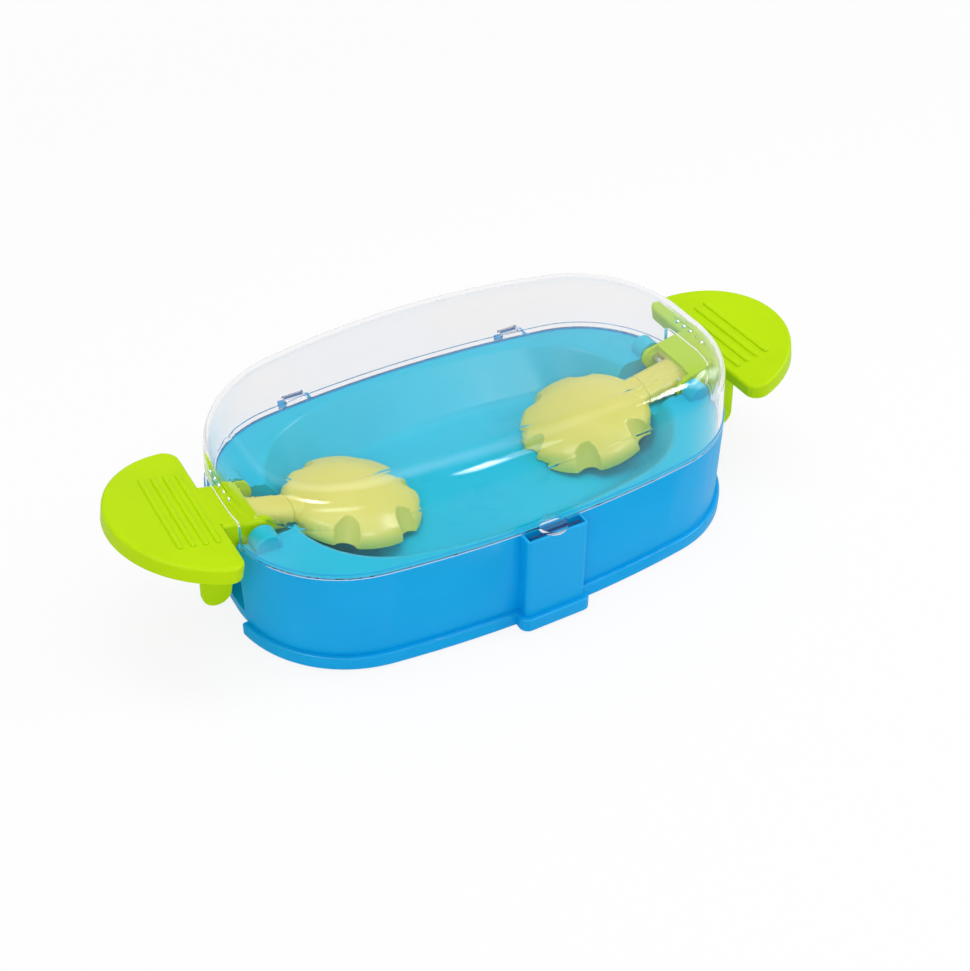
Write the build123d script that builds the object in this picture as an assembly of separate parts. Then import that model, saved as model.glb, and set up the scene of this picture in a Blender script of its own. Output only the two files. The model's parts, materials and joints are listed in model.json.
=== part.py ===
from build123d import *
import math
import os

# Treat-tossing dog puzzle: an oval base with a dish, two see-saw levers and a hinged clear cover.
# Millimetres, +Z up, X along the oval, the front latch towards -Y.

# Oval of the base at its rim
rim_length = 299.0
rim_width = 167.8
end_flat = 20.0
side_bow = 5.9
rim_height = 60.8
overrun = 2.0

# Base shell
shell_wall = 3.0
foot_stand = 1.2
plinth_height = 7.6
plinth_step = 3.0
plinth_round = 1.4
ledge_width = 1.8
ledge_thickness = 2.0
tray_recess = 0.8
end_arch_width = 44.0
stop_reach = 6.0
stop_thickness = 3.0
fit_gap = 0.2
rest_gap = 0.4

# Latch boss on the front of the shell
boss_width = 36.6
boss_depth = 8.0
boss_wall = 1.6
boss_round = 1.6
rim_round = 0.8
latch_slot_depth = 20.0

# Hinge lugs on the back of the shell
lug_inset = 77.7
lug_width = 18.5
lug_cheek = 2.4
lug_height = 13.0
lug_standoff = 4.3
hinge_drop = 3.6
hinge_pin_diameter = 2.6
knuckle_wall = 1.6
running_gap = 0.05
side_gap = 0.35

# Dish for the treats
tray_thickness = 2.4
tray_flange = 4.2
end_shelf = 33.5
lip_round = 5.0
dish_end_run = 13.0
dish_side_run = 25.5
dish_floor_round = 12.0
post_diameter = 9.0
post_inset_x = 44.0
post_inset_y = 18.0
end_post_inset = 5.0

# Lever bays and pivots at both ends of the dish
pivot_inset = 15.5
pivot_rise = 1.2
bay_half_width = 20.4
bay_wall = 2.4
fin_clearance = 0.9
hump_radius = 7.0
hump_length = 8.4
hump_depth = 9.0
hump_edge_round = 1.2
axle_diameter = 5.0
axle_end_gap = 0.4
cap_diameter = 8.8
cap_thickness = 2.0

# Lever, in its own frame: the pivot at zero, pedal outwards, top plate flat
lever_tilt = 12.0
lever_travel = 24.0
lever_top = 7.8
lever_half_width = 18.4
lever_wall = 3.0
plate_thickness = 3.0
hood_reach = 8.0
hood_top_start = 2.4
hood_corner_round = 2.4
pedal_offset = 21.1
pedal_radius = 54.0
pedal_skirt = 8.5
pedal_corner_round = 8.0
pedal_edge_round = 1.8
rib_count = 4
rib_pitch = 6.6
rib_length = 62.0
rib_width = 3.0
rib_height = 1.2
rib_round_share = 0.8
rib_start = 7.0
fin_top_reach = 34.0
fin_inner_reach = 12.6
fin_floor_gap = 19.0
fin_tip_radius = 8.0

# Paw paddle and its arm, in the same frame
paw_centre = 61.0
paw_radius = 38.5
paw_bottom = 6.5
paw_side_height = 6.0
paw_crown_height = 19.0
paw_shoulder_round = 10.0
paw_wall = 2.4
flute_count = 6
flute_radius = 7.5
flute_depth = 3.4
flute_lean = 26.0
flute_edge_round = 1.2
arm_width = 21.0
arm_height = 10.0
arm_top_round = 8.0
arm_edge_round = 1.2
arm_seam_width = 0.6
arm_seam_depth = 0.5
arm_overlap = 8.0
plug_reach = 15.0

# Clear cover
cover_wall = 2.2
cover_inset = 0.8
cover_height = 52.0
cover_crown = 10.0
cover_taper = 3.0
cover_round = 18.0
bead_height = 3.0
bead_step = 0.7
notch_half_width = 22.6
notch_headroom = 3.0
notch_round = 3.0
vent_count = 5
vent_pitch = 6.3
vent_diameter = 2.4
vent_rise = 8.7
flange_thickness = 2.0
latch_tongue_width = 30.0
latch_tongue_length = 13.0
latch_tongue_thickness = 1.8
latch_tongue_gap = 0.8
latch_tab_width = 16.0
latch_tab_overhang = 1.0

# Underside
floor_thickness = 2.0
floor_ledge = 2.0
floor_screw_diameter = 3.0
floor_screw_length = 12.0
floor_screw_head = 6.0
floor_screw_head_height = 1.4
foot_diameter = 16.0
foot_recess = 0.9
foot_inset_x = 44.5
foot_inset_y = 33.9

# Worked out from the sizes above
half_length = rim_length / 2
half_width = rim_width / 2
flat_half = end_flat / 2
shell_bottom = foot_stand
tray_top = rim_height - tray_recess
tray_inset = shell_wall + fit_gap
hinge_z = rim_height - hinge_drop
hinge_pin_radius = hinge_pin_diameter / 2
knuckle_radius = hinge_pin_radius + running_gap + knuckle_wall
axle_radius = axle_diameter / 2
boss_front = half_width + boss_depth
cover_bottom = rim_height
floor_bottom = foot_stand
lug_spacing = rim_length - 2 * lug_inset
pivot_x = half_length - pivot_inset
pivot_height = rim_height + pivot_rise
hump_outer = bay_half_width + bay_wall + hump_length
mouth_length = rim_length - 2 * end_shelf
mouth_width = rim_width - 2 * (tray_inset + tray_flange)
dish_floor_length = mouth_length - 2 * dish_end_run
dish_floor_width = mouth_width - 2 * dish_side_run
rest_angle = math.radians(lever_tilt)
press_angle = math.radians(lever_tilt - lever_travel)
fin_tip_x = fin_inner_reach + fin_tip_radius
fin_depth = pivot_height - fin_floor_gap
fin_tip_z = fin_tip_radius - fin_depth
arm_top = lever_top - plate_thickness - fit_gap
arm_low = arm_top - arm_height
dish_floor_height = (pivot_height - (paw_centre + paw_radius) * math.sin(rest_angle)
                     - paw_bottom * math.cos(rest_angle) - rest_gap)


def oval_sizes(length, width):
    """Corner radius, side radius and the angle where the two arcs meet."""
    corner = width / 2 - flat_half - side_bow
    run = length / 2 - corner
    rise = width / 2 - flat_half
    side = (run ** 2 + rise ** 2 - corner ** 2) / (2 * side_bow)
    turn = math.atan2(run, flat_half - width / 2 + side)
    return corner, side, turn


def oval_back(x):
    """Y of the long side of the rim at x."""
    corner, side, turn = oval_sizes(rim_length, rim_width)
    return half_width - side + math.sqrt(side ** 2 - x ** 2)


def oval(inset, height, length=rim_length, width=rim_width):
    """Face of the oval, drawn in by inset, at a height: flat ends, round corners, bowed sides."""
    corner, side, turn = oval_sizes(length, width)
    end_x = length / 2 - inset
    corner_x = length / 2 - corner
    corner_radius = corner - inset
    top = width / 2 - inset
    meet = (corner_x + corner_radius * math.sin(turn), flat_half + corner_radius * math.cos(turn))
    middle_angle = (math.pi / 2 + turn) / 2
    middle = (corner_x + corner_radius * math.sin(middle_angle),
              flat_half + corner_radius * math.cos(middle_angle))
    edges = []
    for side_x in (1, -1):
        edges.append(Line((side_x * end_x, -flat_half), (side_x * end_x, flat_half)))
        for side_y in (1, -1):
            edges.append(ThreePointArc((side_x * end_x, side_y * flat_half),
                                       (side_x * middle[0], side_y * middle[1]),
                                       (side_x * meet[0], side_y * meet[1])))
    for side_y in (1, -1):
        edges.append(ThreePointArc((meet[0], side_y * meet[1]), (0, side_y * top),
                                   (-meet[0], side_y * meet[1])))
    return Pos(0, 0, height) * make_face(edges)


def oval_block(inset, low, high):
    return extrude(oval(inset, low), high - low)


def block(x_low, x_high, y_low, y_high, z_low, z_high):
    """Box between the given corners."""
    centre = ((x_low + x_high) / 2, (y_low + y_high) / 2, (z_low + z_high) / 2)
    return Pos(*centre) * Box(x_high - x_low, y_high - y_low, z_high - z_low)


def rod_x(radius, length, y, z, x=0):
    return Pos(x, y, z) * Rot(0, 90, 0) * Cylinder(radius, length)


def rod_y(radius, length, x, z, y=0):
    return Pos(x, y, z) * Rot(90, 0, 0) * Cylinder(radius, length)


def both_ends(shape):
    """The shape made for the +X end, and its twin turned to the -X end."""
    return shape + Rot(0, 0, 180) * shape


def sill_height():
    """Top of the bar under a lever bay: the fin stops just above it at full press."""
    tip_z = fin_tip_x * math.sin(press_angle) + fin_tip_z * math.cos(press_angle)
    return pivot_height + tip_z - fin_tip_radius - rest_gap


def bay_inner_x():
    """Inner face of a lever bay: the fin swings in to just short of it at full press."""
    tip_x = fin_tip_x * math.cos(press_angle) - fin_tip_z * math.sin(press_angle)
    return pivot_x + tip_x - fin_tip_radius - fin_clearance


def trough_reach():
    """X halfway up the end wall of the dish, where the trough for an arm breaks through it."""
    return (mouth_length + dish_floor_length) / 4


def trough_floor():
    """Height of the trough between dish and bay, just under the resting arm and the paw's heel."""
    drop = (pivot_x - trough_reach()) * math.tan(rest_angle)
    return pivot_height - drop - max(paw_bottom, -arm_low) / math.cos(rest_angle) - rest_gap


def hinge_y():
    """The hinge axis stands clear of the widest stretch of wall between the lug cheeks."""
    inner_x = lug_spacing / 2 - lug_width / 2
    return oval_back(inner_x) + rest_gap + knuckle_radius


def make_base_shell():
    """Oval wall with a plinth, latch boss, hinge lugs, a ledge for the dish and two bays with stops."""
    plinth = oval_block(-plinth_step, shell_bottom, shell_bottom + plinth_height)
    plinth += block(-boss_width / 2 - plinth_step, boss_width / 2 + plinth_step,
                    -boss_front - plinth_step, 0, shell_bottom, shell_bottom + plinth_height)
    plinth = fillet(plinth.faces().sort_by(Axis.Z)[-1].edges(), plinth_round)
    boss = block(-boss_width / 2, boss_width / 2, -boss_front, 0, shell_bottom, rim_height)
    boss = fillet(boss.edges().filter_by(Axis.Z).group_by(Axis.Y)[0], boss_round)
    shell = oval_block(0, shell_bottom, rim_height) + boss
    shell = fillet(shell.faces().sort_by(Axis.Z)[-1].edges(), rim_round) + plinth
    for side_x in (1, -1):
        shell += make_lug(side_x * lug_spacing / 2)
    shell -= oval_block(shell_wall, shell_bottom - overrun, rim_height + overrun)
    ledge_top = tray_top - tray_thickness
    ledges = oval_block(shell_wall - fit_gap, ledge_top - ledge_thickness, ledge_top)
    ledges -= oval_block(shell_wall + ledge_width, shell_bottom, rim_height)
    floor_top = floor_bottom + floor_thickness
    floor_stop = oval_block(shell_wall - fit_gap, floor_top, floor_top + floor_ledge)
    floor_stop -= oval_block(shell_wall + floor_ledge, shell_bottom, rim_height)
    shell += ledges + floor_stop
    slot_half = boss_width / 2 - boss_wall
    shell -= block(-slot_half, slot_half, -boss_front + boss_wall, -half_width - fit_gap,
                   rim_height - latch_slot_depth, rim_height + overrun)
    reach = half_length + plinth_step + overrun
    inner = half_length - shell_wall - ledge_width - overrun
    bay = block(inner, reach, -bay_half_width, bay_half_width, sill_height(), rim_height + overrun)
    arch = block(inner, reach, -end_arch_width / 2, end_arch_width / 2,
                 shell_bottom - overrun, shell_bottom + plinth_height)
    stop_half = bay_half_width - rest_gap
    wall_face = half_length - shell_wall
    stop = block(wall_face - stop_reach, wall_face + fit_gap, -stop_half, stop_half,
                 sill_height() - stop_thickness, sill_height())
    return shell - both_ends(bay + arch) + both_ends(stop)


def make_lug(x):
    """Two cheeks on the back wall that carry a hinge pin between them."""
    low = rim_height - lug_height
    outer = hinge_y() + knuckle_radius
    lug = block(x - lug_width / 2, x + lug_width / 2, oval_back(x) - lug_standoff, outer, low, rim_height)
    lug = fillet(lug.edges().filter_by(Axis.X).group_by(Axis.Y)[-1], knuckle_wall)
    inner_half = lug_width / 2 - lug_cheek
    lug -= block(x - inner_half, x + inner_half, half_width - lug_standoff - shell_wall, outer + overrun,
                 low + lug_cheek, rim_height + overrun)
    lug -= rod_x(hinge_pin_radius, lug_width - lug_cheek / 2, hinge_y(), hinge_z, x)
    return lug


def make_hinge_pin(side_x):
    length = lug_width - lug_cheek / 2 - rest_gap
    return rod_x(hinge_pin_radius, length, hinge_y(), hinge_z, side_x * lug_spacing / 2)


def make_feeding_tray():
    """Dish on a flange, with posts under it and a bay, an arm trough and two pivot humps at each end."""
    under = tray_top - tray_thickness
    tray = oval_block(tray_inset, under, tray_top)
    tray += dish_solid(tray_thickness, under, dish_floor_height - tray_thickness)
    post_low = floor_bottom + floor_thickness
    for x, y in post_places():
        tray += extrude(Pos(x, y, post_low) * Circle(post_diameter / 2), tray_top - post_low)
    bay_outer = bay_half_width + bay_wall
    bay_bottom = post_low + rest_gap
    bay = block(bay_inner_x() - bay_wall, half_length, -bay_outer, bay_outer, bay_bottom, tray_top)
    bay &= oval_block(shell_wall + floor_ledge + fit_gap, bay_bottom, tray_top)
    trough = block(trough_reach(), bay_inner_x(), -bay_outer, bay_outer, trough_floor() - bay_wall, tray_top)
    tray += both_ends(bay + trough)
    tray -= dish_cavity()
    tray += both_ends(make_hump() + mirror(make_hump(), Plane.XZ))
    over = pivot_height + hump_radius + overrun
    bay_room = block(bay_inner_x(), half_length + overrun, -bay_half_width, bay_half_width,
                     bay_bottom - overrun, over)
    arm_room = block(trough_reach(), half_length, -bay_half_width, bay_half_width, trough_floor(), over)
    bore = rod_y(axle_radius + running_gap, 2 * hump_outer, pivot_x, pivot_height)
    for side_y in (1, -1):
        bore += rod_y(cap_diameter / 2 + running_gap, cap_thickness, pivot_x, pivot_height, side_y * cap_y())
    tray -= both_ends(bay_room + arm_room + bore)
    for x, y in post_places():
        depth = floor_screw_length - floor_thickness + floor_screw_head_height
        tray -= extrude(Pos(x, y, post_low) * Circle(floor_screw_diameter / 2), depth)
    return tray


def dish_solid(grow, top, bottom):
    """Bowl-shaped solid between the dish's mouth and its floor, grown sideways for its outer side."""
    mouth = oval(-grow, top, mouth_length, mouth_width)
    floor = oval(-grow, bottom, dish_floor_length, dish_floor_width)
    bowl = loft([floor, mouth], ruled=True)
    return fillet(bowl.faces().sort_by(Axis.Z)[0].edges(), dish_floor_round + grow)


def dish_cavity():
    """Room inside the dish and over its flange, with the rounded lip where the two meet."""
    room = dish_solid(0, tray_top, dish_floor_height) + oval_block(0, tray_top, tray_top + tray_thickness)
    flange = room.faces().filter_by(Axis.Z).sort_by(Axis.Z)[-2]
    return fillet(flange.inner_wires()[0].edges(), lip_round)


def make_hump():
    """Bearing housing over the back end of an axle at the +X end."""
    length = hump_outer - bay_half_width
    profile = Pos(0, -hump_depth / 2) * Rectangle(2 * hump_radius, hump_depth) + Circle(hump_radius)
    hump = extrude(Plane.XZ * profile, -length)
    hump = fillet(hump.faces().sort_by(Axis.Y)[-1].edges(), hump_edge_round)
    return Pos(pivot_x, bay_half_width, pivot_height) * hump


def cap_y():
    """Middle of an axle cap, flush with the outer end of its hump."""
    return hump_outer - cap_thickness / 2


def post_places():
    """Centres of the six posts that the floor is screwed to."""
    places = []
    floor_x = dish_floor_length / 2
    floor_y = dish_floor_width / 2
    for side_x in (1, -1):
        for side_y in (1, -1):
            places.append((side_x * (floor_x - post_inset_x), side_y * (floor_y - post_inset_y)))
        places.append((side_x * (floor_x - end_post_inset), 0))
    return places


def make_bottom_floor():
    """Plate that closes the underside, with screw holes and seats for the feet."""
    plate = oval_block(tray_inset, floor_bottom, floor_bottom + floor_thickness)
    for x, y in post_places():
        plate -= Pos(x, y, floor_bottom) * Cylinder(floor_screw_diameter / 2, 2 * floor_thickness + overrun)
        plate -= extrude(Pos(x, y, floor_bottom) * Circle(floor_screw_head / 2 + fit_gap),
                         floor_screw_head_height)
    for x, y in foot_places().values():
        plate -= extrude(Pos(x, y, floor_bottom) * Circle(foot_diameter / 2), foot_recess)
    return plate


def foot_places():
    places = {}
    for side_y, depth_name in ((-1, "front"), (1, "back")):
        for side_x, side_name in ((-1, "left"), (1, "right")):
            name = "foot_" + depth_name + "_" + side_name
            places[name] = (side_x * (half_length - foot_inset_x), side_y * (half_width - foot_inset_y))
    return places


def make_foot(x, y):
    """Rubber disc pressed into its seat, standing proud of the floor."""
    foot = extrude(Pos(x, y, 0) * Circle(foot_diameter / 2), foot_stand + foot_recess)
    return chamfer(foot.faces().sort_by(Axis.Z)[0].edges(), foot_stand / 2)


def make_screw(x, y, head_low, head_height, head_diameter, shank_diameter, length):
    """Countersunk-style screw standing upright, its head at the bottom."""
    screw = extrude(Pos(x, y, head_low) * Circle(head_diameter / 2), head_height)
    return screw + extrude(Pos(x, y, head_low) * Circle(shank_diameter / 2), length)


def make_floor_screws():
    screws = []
    for x, y in post_places():
        screws.append(make_screw(x, y, floor_bottom, floor_screw_head_height - fit_gap, floor_screw_head,
                                 floor_screw_diameter - fit_gap, floor_screw_length))
    return screws


def make_axle_cap(side_x, side_y):
    """Round cap pressed into the outer end of a hump, so that the axle stays in."""
    return rod_y(cap_diameter / 2, cap_thickness, side_x * pivot_x, pivot_height, side_y * cap_y())


def at_pivot(shape, side_x):
    """Lever-frame shape, tilted to its resting place at one end."""
    placed = Pos(pivot_x, 0, pivot_height) * Rot(0, -lever_tilt, 0) * shape
    return placed if side_x > 0 else Rot(0, 0, 180) * placed


def side_plate():
    """Profile of one side of the lever: hood, pivot boss and the fin that hangs under the pedal."""
    run = fin_top_reach - fin_tip_x
    bearing = math.atan2(-fin_tip_z, run) - math.acos(fin_tip_radius / math.hypot(run, fin_tip_z))
    touch = (fin_tip_x + fin_tip_radius * math.cos(bearing), fin_tip_z + fin_tip_radius * math.sin(bearing))
    plate_low = lever_top - plate_thickness
    fin = make_face(Polyline((fin_inner_reach, plate_low), (fin_inner_reach, fin_tip_z),
                             (fin_tip_x, fin_tip_z), touch, (fin_top_reach, 0), (fin_top_reach, plate_low),
                             close=True))
    profile = fin + Pos(fin_tip_x, fin_tip_z) * Circle(fin_tip_radius) + Circle(hood_reach)
    neck = Polyline((hood_top_start, lever_top), (hood_top_start, 0), (0, 0), (0, -hood_reach),
                    (fin_inner_reach, -hood_reach), (fin_top_reach, 0), (fin_top_reach, plate_low),
                    (pedal_offset, plate_low), (pedal_offset, lever_top), close=True)
    return profile + make_face(neck)


def half_disc(inset):
    """Plan of the pedal, drawn in by inset, with its two corners rounded."""
    radius = pedal_radius - inset
    start = pedal_offset + inset
    half = math.sqrt(radius ** 2 - inset ** 2)
    plan = make_face([Line((start, -half), (start, half)),
                      ThreePointArc((start, half), (pedal_offset + radius, 0), (start, -half))])
    return fillet(plan.vertices(), pedal_corner_round - inset)


def make_pedal():
    """Half-round pedal with grip ribs, and the hooded neck whose sides hang on the axle."""
    low = lever_top - pedal_skirt
    plate_low = lever_top - plate_thickness
    pedal = extrude(Pos(0, 0, low) * half_disc(0), pedal_skirt)
    pedal = fillet(pedal.faces().sort_by(Axis.Z)[-1].edges(), pedal_edge_round)
    pedal -= extrude(Pos(0, 0, low - overrun) * half_disc(lever_wall), plate_low - low + overrun)
    outer = Pos(0, (lever_top - fin_depth) / 2) * Rectangle(2 * lever_half_width, lever_top + fin_depth)
    outer = fillet(outer.vertices().group_by(Axis.Y)[-1], hood_corner_round)
    inner_half = lever_half_width - lever_wall
    channel = outer - Pos(0, (plate_low - fin_depth) / 2) * Rectangle(2 * inner_half, plate_low + fin_depth)
    channel = Pos(-hood_reach, 0, 0) * extrude(Plane.YZ * channel, hood_reach + fin_top_reach)
    hood = channel & extrude(Plane.XZ * side_plate(), lever_half_width, both=True)
    hood -= block(-hood_reach - overrun, hood_top_start, -inner_half, inner_half, 0, lever_top + overrun)
    flush_half = lever_half_width - hood_corner_round
    flush = block(hood_top_start, pedal_offset + lever_wall, -flush_half, flush_half, plate_low, lever_top)
    lever = pedal + hood + flush
    for index in range(rib_count):
        place = Pos(pedal_offset + rib_start + index * rib_pitch, 0, lever_top) * Rot(0, 0, 90)
        rib = extrude(SlotOverall(rib_length, rib_width), rib_height)
        lever += place * fillet(rib.faces().sort_by(Axis.Z)[-1].edges(), rib_height * rib_round_share)
    return lever - rod_y(axle_radius, 2 * lever_half_width + overrun, 0, 0)


def paw_body(inset):
    """Domed disc with flutes up its side, drawn in by inset on the sides and the top."""
    rise = paw_crown_height - paw_side_height
    crown = (paw_radius ** 2 + rise ** 2) / (2 * rise)
    body = extrude(Circle(paw_radius - inset), paw_crown_height)
    body &= Pos(0, 0, paw_crown_height - inset - crown) * Sphere(crown)
    body = fillet(body.faces().filter_by(GeomType.SPHERE)[0].edges(), paw_shoulder_round - inset)
    flute = Pos(paw_radius + flute_radius - flute_depth, 0, 0) * Rot(0, -flute_lean, 0)
    flute *= Cylinder(flute_radius + inset, 2 * paw_radius)
    for index in range(1, flute_count):
        body -= Rot(0, 0, 360 * index / flute_count) * flute
    return fillet(body.edges().filter_by(GeomType.BSPLINE), flute_edge_round)


def arm_section(inset):
    """Half-round section of the arm, drawn in by inset."""
    section = Rectangle(arm_width - 2 * inset, arm_height - 2 * inset)
    section = fillet(section.vertices().group_by(Axis.Y)[-1], arm_top_round - inset)
    section = fillet(section.vertices().group_by(Axis.Y)[0], arm_edge_round - inset)
    return Plane.YZ * Pos(0, (arm_top + arm_low) / 2) * section


def make_paw():
    """Hollow paw-shaped paddle on an arm, with a plug that the axle passes through."""
    paw = Pos(-paw_centre, 0, -paw_bottom) * (paw_body(0) - paw_body(paw_wall))
    heel = paw_centre - paw_radius
    arm = Pos(-heel - arm_overlap, 0, 0) * extrude(arm_section(0), heel + arm_overlap + plug_reach)
    groove = extrude(arm_section(0), arm_seam_width) - extrude(arm_section(arm_seam_depth), arm_seam_width)
    arm -= Pos(-heel, 0, 0) * groove
    plug_half = lever_half_width - lever_wall - fit_gap
    plug_top = lever_top - plate_thickness
    plug = block(hood_top_start, plug_reach, -plug_half, plug_half, arm_low, plug_top)
    return paw + arm + plug - rod_y(axle_radius, 2 * lever_half_width, 0, 0)


def make_axle(side_x):
    length = 2 * (hump_outer - cap_thickness - axle_end_gap)
    axle = rod_y(axle_radius, length, 0, 0)
    axle = chamfer(axle.edges(), axle_end_gap)
    return at_pivot(axle, side_x)


def cover_solid(inset, low, top, round):
    """Crowned, tapered block with a rounded top edge; the cover is one of these less a smaller one."""
    radius = half_length ** 2 / (2 * cover_crown) + cover_crown / 2
    tall = loft([oval(inset, low), oval(inset + cover_taper, top)], ruled=True)
    body = tall & rod_y(radius, 2 * rim_width, 0, top - radius)
    return fillet(body.faces().sort_by(Axis.Z)[-1].edges(), round)


def make_clear_cover():
    """Clear cover with a beaded foot, lever notches, vent holes, a latch tongue and hinge knuckles."""
    cover_top = cover_bottom + cover_height
    cover = cover_solid(cover_inset, cover_bottom, cover_top, cover_round)
    cover += oval_block(cover_inset - bead_step, cover_bottom, cover_bottom + bead_height)
    cover -= cover_solid(cover_inset + cover_wall, cover_bottom - overrun, cover_top - cover_wall,
                         cover_round - cover_wall)
    cover -= both_ends(lever_notch())
    for hole in vent_holes():
        cover -= both_ends(hole)
    cover += make_latch()
    for side_x in (1, -1):
        x = side_x * lug_spacing / 2
        cover += make_knuckle(x)
        cover -= rod_x(hinge_pin_radius + running_gap, lug_width, hinge_y(), hinge_z, x)
    return cover


def notch_top():
    """Top of the notch, just over the lever's neck at rest."""
    tilt = math.radians(lever_tilt)
    neck_top = lever_top / math.cos(tilt) + (half_length - pivot_x) * math.tan(tilt)
    return pivot_height + neck_top + notch_headroom


def lever_notch():
    """Cut in the +X end of the cover, open downwards, that the lever's neck passes through."""
    top = notch_top()
    low = cover_bottom - overrun
    opening = Pos(0, (top + low) / 2) * Rectangle(2 * notch_half_width, top - low)
    opening = fillet(opening.vertices().group_by(Axis.Y)[-1], notch_round)
    return Pos(pivot_x, 0, 0) * extrude(Plane.YZ * opening, half_length - pivot_x + overrun)


def vent_holes():
    """Row of small holes over the notch at the +X end."""
    holes = []
    middle_x = (half_length + pivot_x) / 2
    for index in range(vent_count):
        y = (index - (vent_count - 1) / 2) * vent_pitch
        holes.append(rod_x(vent_diameter / 2, half_length - pivot_x, y, notch_top() + vent_rise, middle_x))
    return holes


def make_latch():
    """Round thumb tab over the boss, with a tongue under it that drops into the slot."""
    outer = boss_front - boss_wall - latch_tongue_gap
    inner = half_width - cover_inset - cover_wall / 2
    tab_radius = latch_tab_width / 2
    tab_centre = boss_front + latch_tab_overhang - tab_radius
    tab_top = cover_bottom + flange_thickness
    latch = block(-tab_radius, tab_radius, -tab_centre, -inner, cover_bottom, tab_top)
    latch += extrude(Pos(0, -tab_centre, cover_bottom) * Circle(tab_radius), flange_thickness)
    tongue_half = latch_tongue_width / 2
    return latch + block(-tongue_half, tongue_half, -outer, latch_tongue_thickness - outer,
                         cover_bottom - latch_tongue_length, cover_bottom)


def make_knuckle(x):
    """Gooseneck from the cover's foot to a barrel round the hinge pin."""
    half = lug_width / 2 - lug_cheek - side_gap
    top = cover_bottom + flange_thickness
    inner = hinge_y() - knuckle_radius
    outer = hinge_y() + knuckle_radius
    foot = oval_back(abs(x) + half) - cover_inset - cover_wall / 2
    knuckle = rod_x(knuckle_radius, 2 * half, hinge_y(), hinge_z, x)
    knuckle += block(x - half, x + half, inner, outer, hinge_z, top)
    return knuckle + block(x - half, x + half, foot, outer, cover_bottom, top)


def placed_parts():
    parts = {
        "base_shell": make_base_shell(),
        "feeding_tray": make_feeding_tray(),
        "bottom_floor": make_bottom_floor(),
        "floor_screws": make_floor_screws(),
        "clear_cover": make_clear_cover(),
    }
    for name, (x, y) in foot_places().items():
        parts[name] = make_foot(x, y)
    for side_x, side_name in ((-1, "left"), (1, "right")):
        for side_y, depth_name in ((-1, "front"), (1, "back")):
            parts["axle_cap_" + depth_name + "_" + side_name] = make_axle_cap(side_x, side_y)
        parts["hinge_pin_" + side_name] = make_hinge_pin(side_x)
        parts[side_name + "_axle"] = make_axle(side_x)
        parts[side_name + "_pedal"] = at_pivot(make_pedal(), side_x)
        parts[side_name + "_paw"] = at_pivot(make_paw(), side_x)
    return parts


front_reach = boss_front + plinth_step
back_reach = max(half_width + plinth_step, hinge_y() + knuckle_radius)
depth_shift = (front_reach - back_reach) / 2
print("hinge axis at y", round(hinge_y() + depth_shift, 3), "z", round(hinge_z, 3))
os.makedirs("parts", exist_ok=True)
for name, shape in placed_parts().items():
    solids = shape if isinstance(shape, list) else [shape]
    placed = [Pos(0, depth_shift, 0) * solid for solid in solids]
    export_step(Compound(children=placed), "parts/" + name + ".step")
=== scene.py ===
import json
import math
import bpy
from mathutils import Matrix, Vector


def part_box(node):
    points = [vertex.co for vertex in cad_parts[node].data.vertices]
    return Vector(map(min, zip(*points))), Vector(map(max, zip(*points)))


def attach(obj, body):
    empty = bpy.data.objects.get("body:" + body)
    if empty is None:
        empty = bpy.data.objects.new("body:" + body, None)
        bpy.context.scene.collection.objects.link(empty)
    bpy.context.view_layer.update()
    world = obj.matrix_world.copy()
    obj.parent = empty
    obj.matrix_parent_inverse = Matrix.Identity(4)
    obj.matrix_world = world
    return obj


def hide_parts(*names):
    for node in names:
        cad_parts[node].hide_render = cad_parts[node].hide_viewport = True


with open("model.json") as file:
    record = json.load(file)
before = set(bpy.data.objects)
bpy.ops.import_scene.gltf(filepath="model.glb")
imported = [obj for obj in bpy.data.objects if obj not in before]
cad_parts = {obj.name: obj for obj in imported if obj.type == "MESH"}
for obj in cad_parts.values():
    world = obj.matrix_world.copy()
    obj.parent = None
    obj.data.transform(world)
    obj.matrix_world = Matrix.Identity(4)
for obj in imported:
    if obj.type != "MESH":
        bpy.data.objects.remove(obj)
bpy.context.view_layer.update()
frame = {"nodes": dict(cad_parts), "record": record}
nodes = frame["nodes"]
print("frame loaded:", len(nodes), "nodes")


def linearOf(colour):
    # screen colour 0-255 to the linear values that shaders take, by the sRGB curve
    out = []
    for part in colour:
        share = part / 255
        out.append(share / 12.92 if share <= 0.04045 else ((share + 0.055) / 1.055) ** 2.4)
    return (*out, 1.0)


def newMaterial(name):
    made = bpy.data.materials.new(name)
    made.use_nodes = True
    tree = made.node_tree
    tree.nodes.clear()
    output = tree.nodes.new("ShaderNodeOutputMaterial")
    shader = tree.nodes.new("ShaderNodeBsdfPrincipled")
    tree.links.new(shader.outputs["BSDF"], output.inputs["Surface"])
    return made, tree, shader


def mathNode(tree, operation, *values):
    # each value is a number or the output of another node
    node = tree.nodes.new("ShaderNodeMath")
    node.operation = operation
    for socket, value in zip(node.inputs, values):
        if isinstance(value, bpy.types.NodeSocket):
            tree.links.new(value, socket)
        else:
            socket.default_value = value
    return node.outputs["Value"]


def anyOf(tree, first, *others):
    # 1 where any of these outputs is 1
    for other in others:
        first = mathNode(tree, "MAXIMUM", first, other)
    return first


def mapRange(tree, value, fromRange, toRange):
    node = tree.nodes.new("ShaderNodeMapRange")
    node.inputs["From Min"].default_value, node.inputs["From Max"].default_value = fromRange
    node.inputs["To Min"].default_value, node.inputs["To Max"].default_value = toRange
    tree.links.new(value, node.inputs["Value"])
    return node


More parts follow.
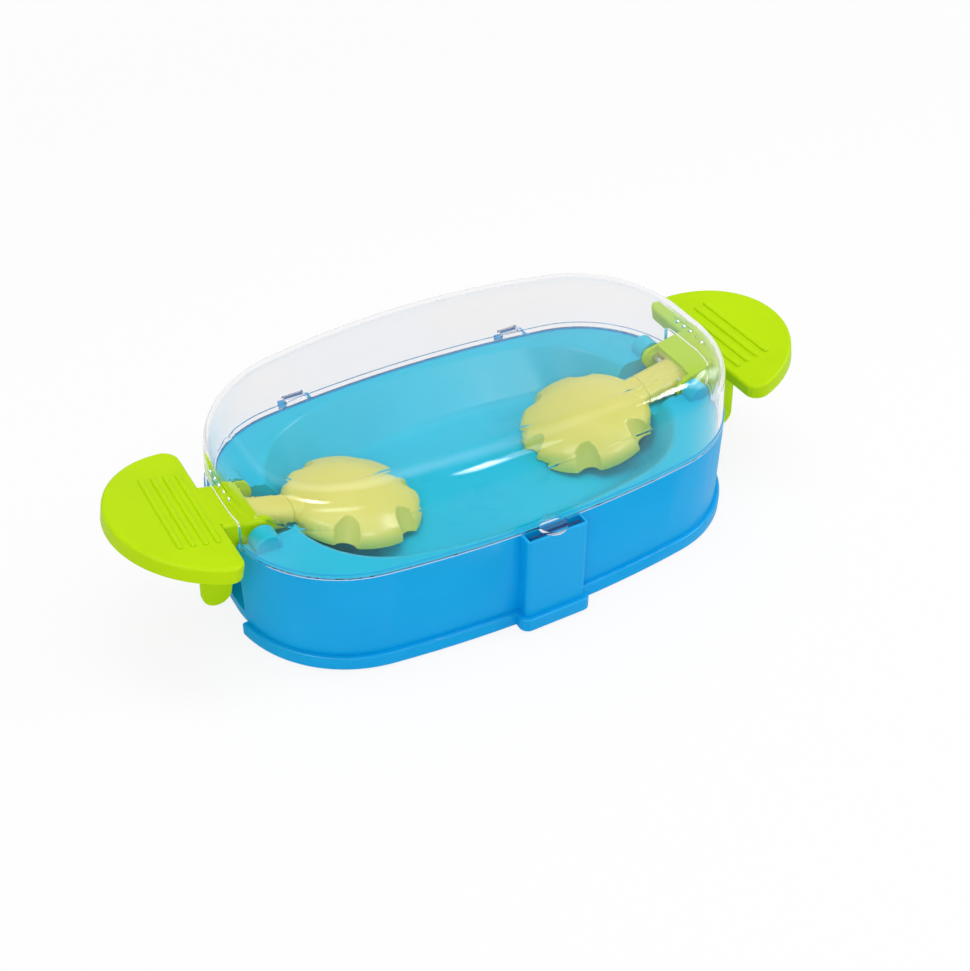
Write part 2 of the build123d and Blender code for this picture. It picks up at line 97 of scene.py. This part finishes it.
def mixShaders(tree, share, first, second):
    # a share of 0 shows the first shader and 1 the second
    mix = tree.nodes.new("ShaderNodeMixShader")
    tree.links.new(share, mix.inputs["Fac"])
    tree.links.new(first.outputs[0], mix.inputs[1])
    tree.links.new(second.outputs[0], mix.inputs[2])
    output = next(node for node in tree.nodes if node.type == "OUTPUT_MATERIAL")
    tree.links.new(mix.outputs["Shader"], output.inputs["Surface"])


def noiseAt(tree, coords, scale, detail):
    noise = tree.nodes.new("ShaderNodeTexNoise")
    noise.inputs["Scale"].default_value = scale
    noise.inputs["Detail"].default_value = detail
    tree.links.new(coords.outputs["Object"], noise.inputs["Vector"])
    return noise.outputs["Fac"]


# noise values gather round the middle, so this band of them is stretched over a range
noiseBand = (0.33, 0.67)


def spreadTo(tree, noise, low, high):
    return mapRange(tree, noise, noiseBand, (low, high)).outputs["Result"]


blueShell = {"name": "blueShell", "deep": (0, 165, 230), "light": (4, 171, 234),
             "cloudScale": 14, "roughness": (0.30, 0.38), "sheenScale": 30, "shine": 0.16,
             "grainScale": 2400, "grainStrength": 0.10, "grainDepth": 0.00005}
blueDish = {"name": "blueDish", "deep": (0, 194, 226), "light": (4, 202, 232),
            "cloudScale": 16, "roughness": (0.26, 0.36), "sheenScale": 34, "shine": 0.12,
            "grainScale": 2400, "grainStrength": 0.08, "grainDepth": 0.00005}
limePedal = {"name": "limePedal", "deep": (184, 223, 0), "light": (190, 229, 0),
             "cloudScale": 18, "roughness": (0.36, 0.46), "sheenScale": 36, "shine": 0.08,
             "grainScale": 2200, "grainStrength": 0.14, "grainDepth": 0.00006}
yellowPaw = {"name": "yellowPaw", "deep": (228, 226, 108), "light": (234, 232, 120),
             "cloudScale": 20, "roughness": (0.28, 0.36), "sheenScale": 40, "shine": 0.25,
             "grainScale": 2400, "grainStrength": 0.06, "grainDepth": 0.00004}
footRubber = {"name": "footRubber", "deep": (44, 47, 50), "light": (58, 61, 64),
              "cloudScale": 90, "roughness": (0.62, 0.75), "sheenScale": 120, "shine": 0.4,
              "grainScale": 1800, "grainStrength": 0.3, "grainDepth": 0.00008}

# what all the moulded pieces share
moulding = {"ior": 1.5, "cloudDetail": 2, "sheenDetail": 3, "grainDetail": 1}


def mouldedSurface(finish):
    made, tree, shader = newMaterial(finish["name"])
    coords = tree.nodes.new("ShaderNodeTexCoord")
    # faint flow marks in the melt
    clouds = noiseAt(tree, coords, finish["cloudScale"], moulding["cloudDetail"])
    mix = tree.nodes.new("ShaderNodeMix")
    mix.data_type = "RGBA"
    mix.inputs["A"].default_value = linearOf(finish["deep"])
    mix.inputs["B"].default_value = linearOf(finish["light"])
    tree.links.new(spreadTo(tree, clouds, 0, 1), mix.inputs["Factor"])
    tree.links.new(mix.outputs["Result"], shader.inputs["Base Color"])
    # uneven gloss from the tool and from hands
    handling = noiseAt(tree, coords, finish["sheenScale"], moulding["sheenDetail"])
    tree.links.new(spreadTo(tree, handling, *finish["roughness"]), shader.inputs["Roughness"])
    # spark-eroded tool surface
    grain = noiseAt(tree, coords, finish["grainScale"], moulding["grainDetail"])
    bump = tree.nodes.new("ShaderNodeBump")
    bump.inputs["Strength"].default_value = finish["grainStrength"]
    bump.inputs["Distance"].default_value = finish["grainDepth"]
    tree.links.new(grain, bump.inputs["Height"])
    tree.links.new(bump.outputs["Normal"], shader.inputs["Normal"])
    shader.inputs["IOR"].default_value = moulding["ior"]
    shader.inputs["Specular IOR Level"].default_value = finish["shine"]
    return made


clearCover = {"name": "clearCover", "tint": (0.940, 0.936, 0.948), "roughness": 0.02,
              "ior": 1.49, "shine": (0.28, 0.28, 0.30), "lightTint": (0.95, 0.95, 0.96),
              "turnsInside": 0.5}


def clearPlastic(finish):
    made, tree, shader = newMaterial(finish["name"])
    shader.inputs["Base Color"].default_value = (*finish["tint"], 1)
    shader.inputs["Roughness"].default_value = finish["roughness"]
    shader.inputs["IOR"].default_value = finish["ior"]
    shader.inputs["Transmission Weight"].default_value = 1
    shader.inputs["Specular Tint"].default_value = (*finish["shine"], 1)
    rays = tree.nodes.new("ShaderNodeLightPath").outputs
    # light caught between the two skins of the wall is let out again, or edges go black
    caught = mathNode(tree, "GREATER_THAN", rays["Glossy Depth"], finish["turnsInside"])
    # lamps and bounced light go straight through the thin wall; sight is bent by it
    straight = anyOf(tree, rays["Is Shadow Ray"], rays["Is Diffuse Ray"], caught)
    through = tree.nodes.new("ShaderNodeBsdfTransparent")
    through.inputs["Color"].default_value = (*finish["lightTint"], 1)
    mixShaders(tree, straight, shader, through)
    return made


brightSteel = {"name": "brightSteel", "colour": (196, 198, 202), "roughness": (0.22, 0.34),
               "scratchScale": 900, "scratchDetail": 2}


def drawnSteel(finish):
    made, tree, shader = newMaterial(finish["name"])
    coords = tree.nodes.new("ShaderNodeTexCoord")
    shader.inputs["Base Color"].default_value = linearOf(finish["colour"])
    shader.inputs["Metallic"].default_value = 1
    scratches = noiseAt(tree, coords, finish["scratchScale"], finish["scratchDetail"])
    tree.links.new(spreadTo(tree, scratches, *finish["roughness"]), shader.inputs["Roughness"])
    return made


finishes = {
    "blue_plastic": mouldedSurface(blueShell),
    "tray_plastic": mouldedSurface(blueDish),
    "lime_plastic": mouldedSurface(limePedal),
    "yellow_plastic": mouldedSurface(yellowPaw),
    "clear_plastic": clearPlastic(clearCover),
    "steel": drawnSteel(brightSteel),
    "foot_rubber": mouldedSurface(footRubber),
}
slotOf = {row["node"]: row["material_slot"] for row in frame["record"]["subparts"]}
for name, node in nodes.items():
    node.data.materials.clear()
    node.data.materials.append(finishes[slotOf[name]])
print("finishes set on", len(nodes), "nodes")

# corners of the latch boss and of the plinth below it, softer than the solid has them;
# front is counted from the shell's foremost face, and with no top the shell's own is taken
softCorners = {"plinth": {"half": 0.0213, "front": 0.0, "low": -0.001, "top": 0.0088,
                          "round": 0.005, "lip": 0.0014},
               "boss": {"half": 0.0183, "front": 0.003, "low": 0.00882, "top": None,
                        "round": 0.0028, "lip": 0.0008}}
# the post is a hair slimmer and higher than the corner, so that no two faces coincide; spare
# is how far the tool reaches past it, and the last two pick faces by the height of their normal
cornerPost = {"sides": 64, "radiusShare": 0.9996, "rise": 0.00001, "lipSegments": 5,
              "spare": 0.002, "facingUp": 0.9, "flatUp": 0.999}


def makeActive(piece):
    bpy.ops.object.select_all(action="DESELECT")
    piece.select_set(True)
    bpy.context.view_layer.objects.active = piece


def selectFaces(piece, wanted):
    bpy.ops.object.mode_set(mode="EDIT")
    bpy.ops.mesh.select_mode(type="FACE")
    bpy.ops.mesh.select_all(action="DESELECT")
    bpy.ops.object.mode_set(mode="OBJECT")
    for face in piece.data.polygons:
        face.select = wanted(face)
    bpy.ops.object.mode_set(mode="EDIT")


def mergeDoubles(gap):
    bpy.ops.object.mode_set(mode="EDIT")
    bpy.ops.mesh.select_all(action="SELECT")
    bpy.ops.mesh.remove_doubles(threshold=gap)
    bpy.ops.object.mode_set(mode="OBJECT")


def cutBy(piece, cutter):
    makeActive(piece)
    cut = piece.modifiers.new("cut", "BOOLEAN")
    cut.operation = "DIFFERENCE"
    cut.solver = "EXACT"
    cut.object = cutter
    bpy.ops.object.modifier_apply(modifier="cut")
    bpy.data.objects.remove(cutter)


def cornerCutter(values, side):
    # a block over the corner less a round post with a rounded lip: what is left is cut away
    lowest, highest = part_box("base_shell")
    low = values["low"]
    top = values["top"] or highest[2]
    spare = cornerPost["spare"]
    axisX = side * (values["half"] - values["round"])
    axisY = lowest[1] + values["front"] + values["round"]
    wide = values["round"] + spare
    bpy.ops.object.select_all(action="DESELECT")
    bpy.ops.mesh.primitive_cube_add(
        size=1, scale=(wide, wide, top + spare - low),
        location=(axisX + side * wide / 2, axisY - wide / 2, (low + top + spare) / 2))
    block = bpy.context.object
    bpy.ops.object.transform_apply(location=True, rotation=True, scale=True)
    postLow = low - spare
    postTop = top + cornerPost["rise"]
    bpy.ops.object.select_all(action="DESELECT")
    bpy.ops.mesh.primitive_cylinder_add(
        vertices=cornerPost["sides"], radius=values["round"] * cornerPost["radiusShare"],
        depth=postTop - postLow, location=(axisX, axisY, (postTop + postLow) / 2))
    post = bpy.context.object
    bpy.ops.object.transform_apply(location=True, rotation=True, scale=True)
    selectFaces(post, lambda face: face.normal.z > cornerPost["facingUp"])
    bpy.ops.mesh.bevel(offset=values["lip"], segments=cornerPost["lipSegments"], affect="EDGES")
    bpy.ops.object.mode_set(mode="OBJECT")
    selectFaces(post, lambda face: face.normal.z > cornerPost["flatUp"])
    bpy.ops.mesh.extrude_region_move(TRANSFORM_OT_translate={"value": (0, 0, 2 * spare)})
    bpy.ops.object.mode_set(mode="OBJECT")
    cutBy(block, post)
    return block


# meshGap joins the solid's loose triangles and sliverGap what the cuts leave; an edge of up
# to smoothAngle degrees is smooth; the solid's shading is kept within keptHalf of the middle
# and wherever it is more than keptBehind from the front
softShell = {"meshGap": 0.000001, "sliverGap": 0.000005, "smoothAngle": 32,
             "keptHalf": 0.015, "keptBehind": 0.006}


def keepShading(shell, source, values):
    # away from the cut corners the shading stays that of the solid
    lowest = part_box("base_shell")[0]
    kept = shell.vertex_groups.new(name="kept")
    for corner in shell.data.vertices:
        if abs(corner.co.x) < values["keptHalf"] or corner.co.y > lowest[1] + values["keptBehind"]:
            kept.add([corner.index], 1, "REPLACE")
    shading = shell.modifiers.new("shading", "DATA_TRANSFER")
    shading.object = source
    shading.use_loop_data = True
    shading.data_types_loops = {"CUSTOM_NORMAL"}
    shading.loop_mapping = "NEAREST_POLYNOR"
    shading.vertex_group = "kept"
    bpy.ops.object.modifier_apply(modifier="shading")


def softenShell(values):
    shell = bpy.data.objects.new("softShell", nodes["base_shell"].data.copy())
    bpy.context.scene.collection.objects.link(shell)
    makeActive(shell)
    mergeDoubles(values["meshGap"])
    solidShading = bpy.data.objects.new("solidShading", shell.data.copy())
    bpy.context.scene.collection.objects.link(solidShading)
    bpy.ops.mesh.customdata_custom_splitnormals_clear()
    for corner in softCorners.values():
        for side in (1, -1):
            cutBy(shell, cornerCutter(corner, side))
    makeActive(shell)
    mergeDoubles(values["sliverGap"])
    bpy.ops.object.shade_smooth_by_angle(angle=math.radians(values["smoothAngle"]))
    evened = shell.modifiers.new("evened", "WEIGHTED_NORMAL")
    evened.keep_sharp = True
    bpy.ops.object.modifier_apply(modifier="evened")
    keepShading(shell, solidShading, values)
    bpy.data.objects.remove(solidShading)
    shell.data.materials.clear()
    shell.data.materials.append(finishes["blue_plastic"])
    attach(shell, "base")
    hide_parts("base_shell")
    print("shell softened:", len(shell.data.polygons), "faces")


softenShell(softShell)

studioFloor = {"half": 3.0, "colour": (244, 244, 245), "roughness": 0.9, "whiteShare": 0.86,
               "fadeFrom": 0.4, "fadeTo": 1.6}


def makeFloor(values):
    bpy.ops.object.select_all(action="DESELECT")
    bpy.ops.mesh.primitive_plane_add(size=2 * values["half"], location=(0, 0, 0))
    floor = bpy.context.object
    floor.name = "studioFloor"
    made, tree, shader = newMaterial("studioFloor")
    shader.inputs["Base Color"].default_value = linearOf(values["colour"])
    shader.inputs["Roughness"].default_value = values["roughness"]
    rays = tree.nodes.new("ShaderNodeLightPath").outputs
    seen = anyOf(tree, rays["Is Camera Ray"], rays["Is Transmission Ray"])
    # the floor keeps the shadow near the toy and fades into the white backdrop further out
    coords = tree.nodes.new("ShaderNodeTexCoord")
    reach = tree.nodes.new("ShaderNodeVectorMath")
    reach.operation = "LENGTH"
    tree.links.new(coords.outputs["Object"], reach.inputs[0])
    fade = mapRange(tree, reach.outputs["Value"], (values["fadeFrom"], values["fadeTo"]),
                    (values["whiteShare"], 1))
    fade.interpolation_type = "SMOOTHSTEP"
    share = mathNode(tree, "MULTIPLY", seen, fade.outputs["Result"])
    glow = tree.nodes.new("ShaderNodeEmission")
    mixShaders(tree, share, shader, glow)
    floor.data.materials.append(made)


makeFloor(studioFloor)

# each lamp has a name, a place, a width, a height and its watts
studioLight = {"sky": 0.50, "aim": (0, 0, 0.05),
               "lamps": [("overhead", (0.1, 0.1, 1.5), 2.1, 0.75, 20),
                         ("frontLeft", (-1.0, -1.3, 1.2), 1.35, 0.53, 20),
                         ("right", (1.5, -0.4, 0.9), 0.45, 1.2, 11)],
               # slim strips that only show as glints on polished faces
               "glints": [("frontStrip", (0.40, -1.14, 1.22), 0.24, 0.44, 30),
                          ("leftStrip", (-0.94, -0.29, 1.36), 0.66, 0.26, 38),
                          ("rightStrip", (1.18, -0.34, 1.13), 0.50, 0.26, 30)],
               # u * (1 - u) is a quarter in the middle of a lamp, so both ways give a sixteenth
               "fullLevel": 16}


def makeSky(values):
    world = bpy.data.worlds.new("studioSky")
    bpy.context.scene.world = world
    world.use_nodes = True
    tree = world.node_tree
    tree.nodes.clear()
    # seen or mirrored the sky is plain white; the light that it sheds is dimmer
    rays = tree.nodes.new("ShaderNodeLightPath").outputs
    shown = anyOf(tree, rays["Is Camera Ray"], rays["Is Transmission Ray"], rays["Is Glossy Ray"])
    strength = mapRange(tree, shown, (0, 1), (values["sky"], 1))
    sky = tree.nodes.new("ShaderNodeBackground")
    sky.inputs["Color"].default_value = (1, 1, 1, 1)
    tree.links.new(strength.outputs["Result"], sky.inputs["Strength"])
    output = tree.nodes.new("ShaderNodeOutputWorld")
    tree.links.new(sky.outputs["Background"], output.inputs["Surface"])


def fadeEdges(lamp, fullLevel):
    # bright in the middle of the lamp and nothing at its rim, u * (1 - u) on both sides
    lamp.use_nodes = True
    tree = lamp.node_tree
    glow = next(node for node in tree.nodes if node.type == "EMISSION")
    place = tree.nodes.new("ShaderNodeNewGeometry")
    sides = tree.nodes.new("ShaderNodeSeparateXYZ")
    tree.links.new(place.outputs["Parametric"], sides.inputs["Vector"])
    fades = []
    for side in ("X", "Y"):
        rest = mathNode(tree, "SUBTRACT", 1, sides.outputs[side])
        fades.append(mathNode(tree, "MULTIPLY", sides.outputs[side], rest))
    both = mathNode(tree, "MULTIPLY", *fades)
    tree.links.new(mathNode(tree, "MULTIPLY", both, fullLevel), glow.inputs["Strength"])


def makeLamp(values, name, place, width, height, watts):
    lamp = bpy.data.lights.new(name, "AREA")
    lamp.shape = "RECTANGLE"
    lamp.size = width
    lamp.size_y = height
    lamp.energy = watts
    fadeEdges(lamp, values["fullLevel"])
    holder = bpy.data.objects.new(name, lamp)
    bpy.context.scene.collection.objects.link(holder)
    holder.location = place
    away = Vector(place) - Vector(values["aim"])
    holder.rotation_euler = away.to_track_quat("Z", "Y").to_euler()
    return holder


makeSky(studioLight)
for row in studioLight["lamps"]:
    makeLamp(studioLight, *row)
for row in studioLight["glints"]:
    makeLamp(studioLight, *row).visible_diffuse = False
print("floor and lights set")

photoCamera = {"place": (-0.30652, -0.54742, 0.53550), "turn": (51.157, -0.324, -29.453),
               "lens": 52.482, "sensor": 36, "nearest": 0.01}


def makeCamera(values):
    lens = bpy.data.cameras.new("photoCamera")
    lens.lens = values["lens"]
    lens.sensor_width = values["sensor"]
    lens.clip_start = values["nearest"]
    holder = bpy.data.objects.new("photoCamera", lens)
    bpy.context.scene.collection.objects.link(holder)
    holder.location = values["place"]
    holder.rotation_euler = [math.radians(part) for part in values["turn"]]
    bpy.context.scene.camera = holder


makeCamera(photoCamera)
bpy.context.scene.view_settings.view_transform = "Standard"
print("camera set")
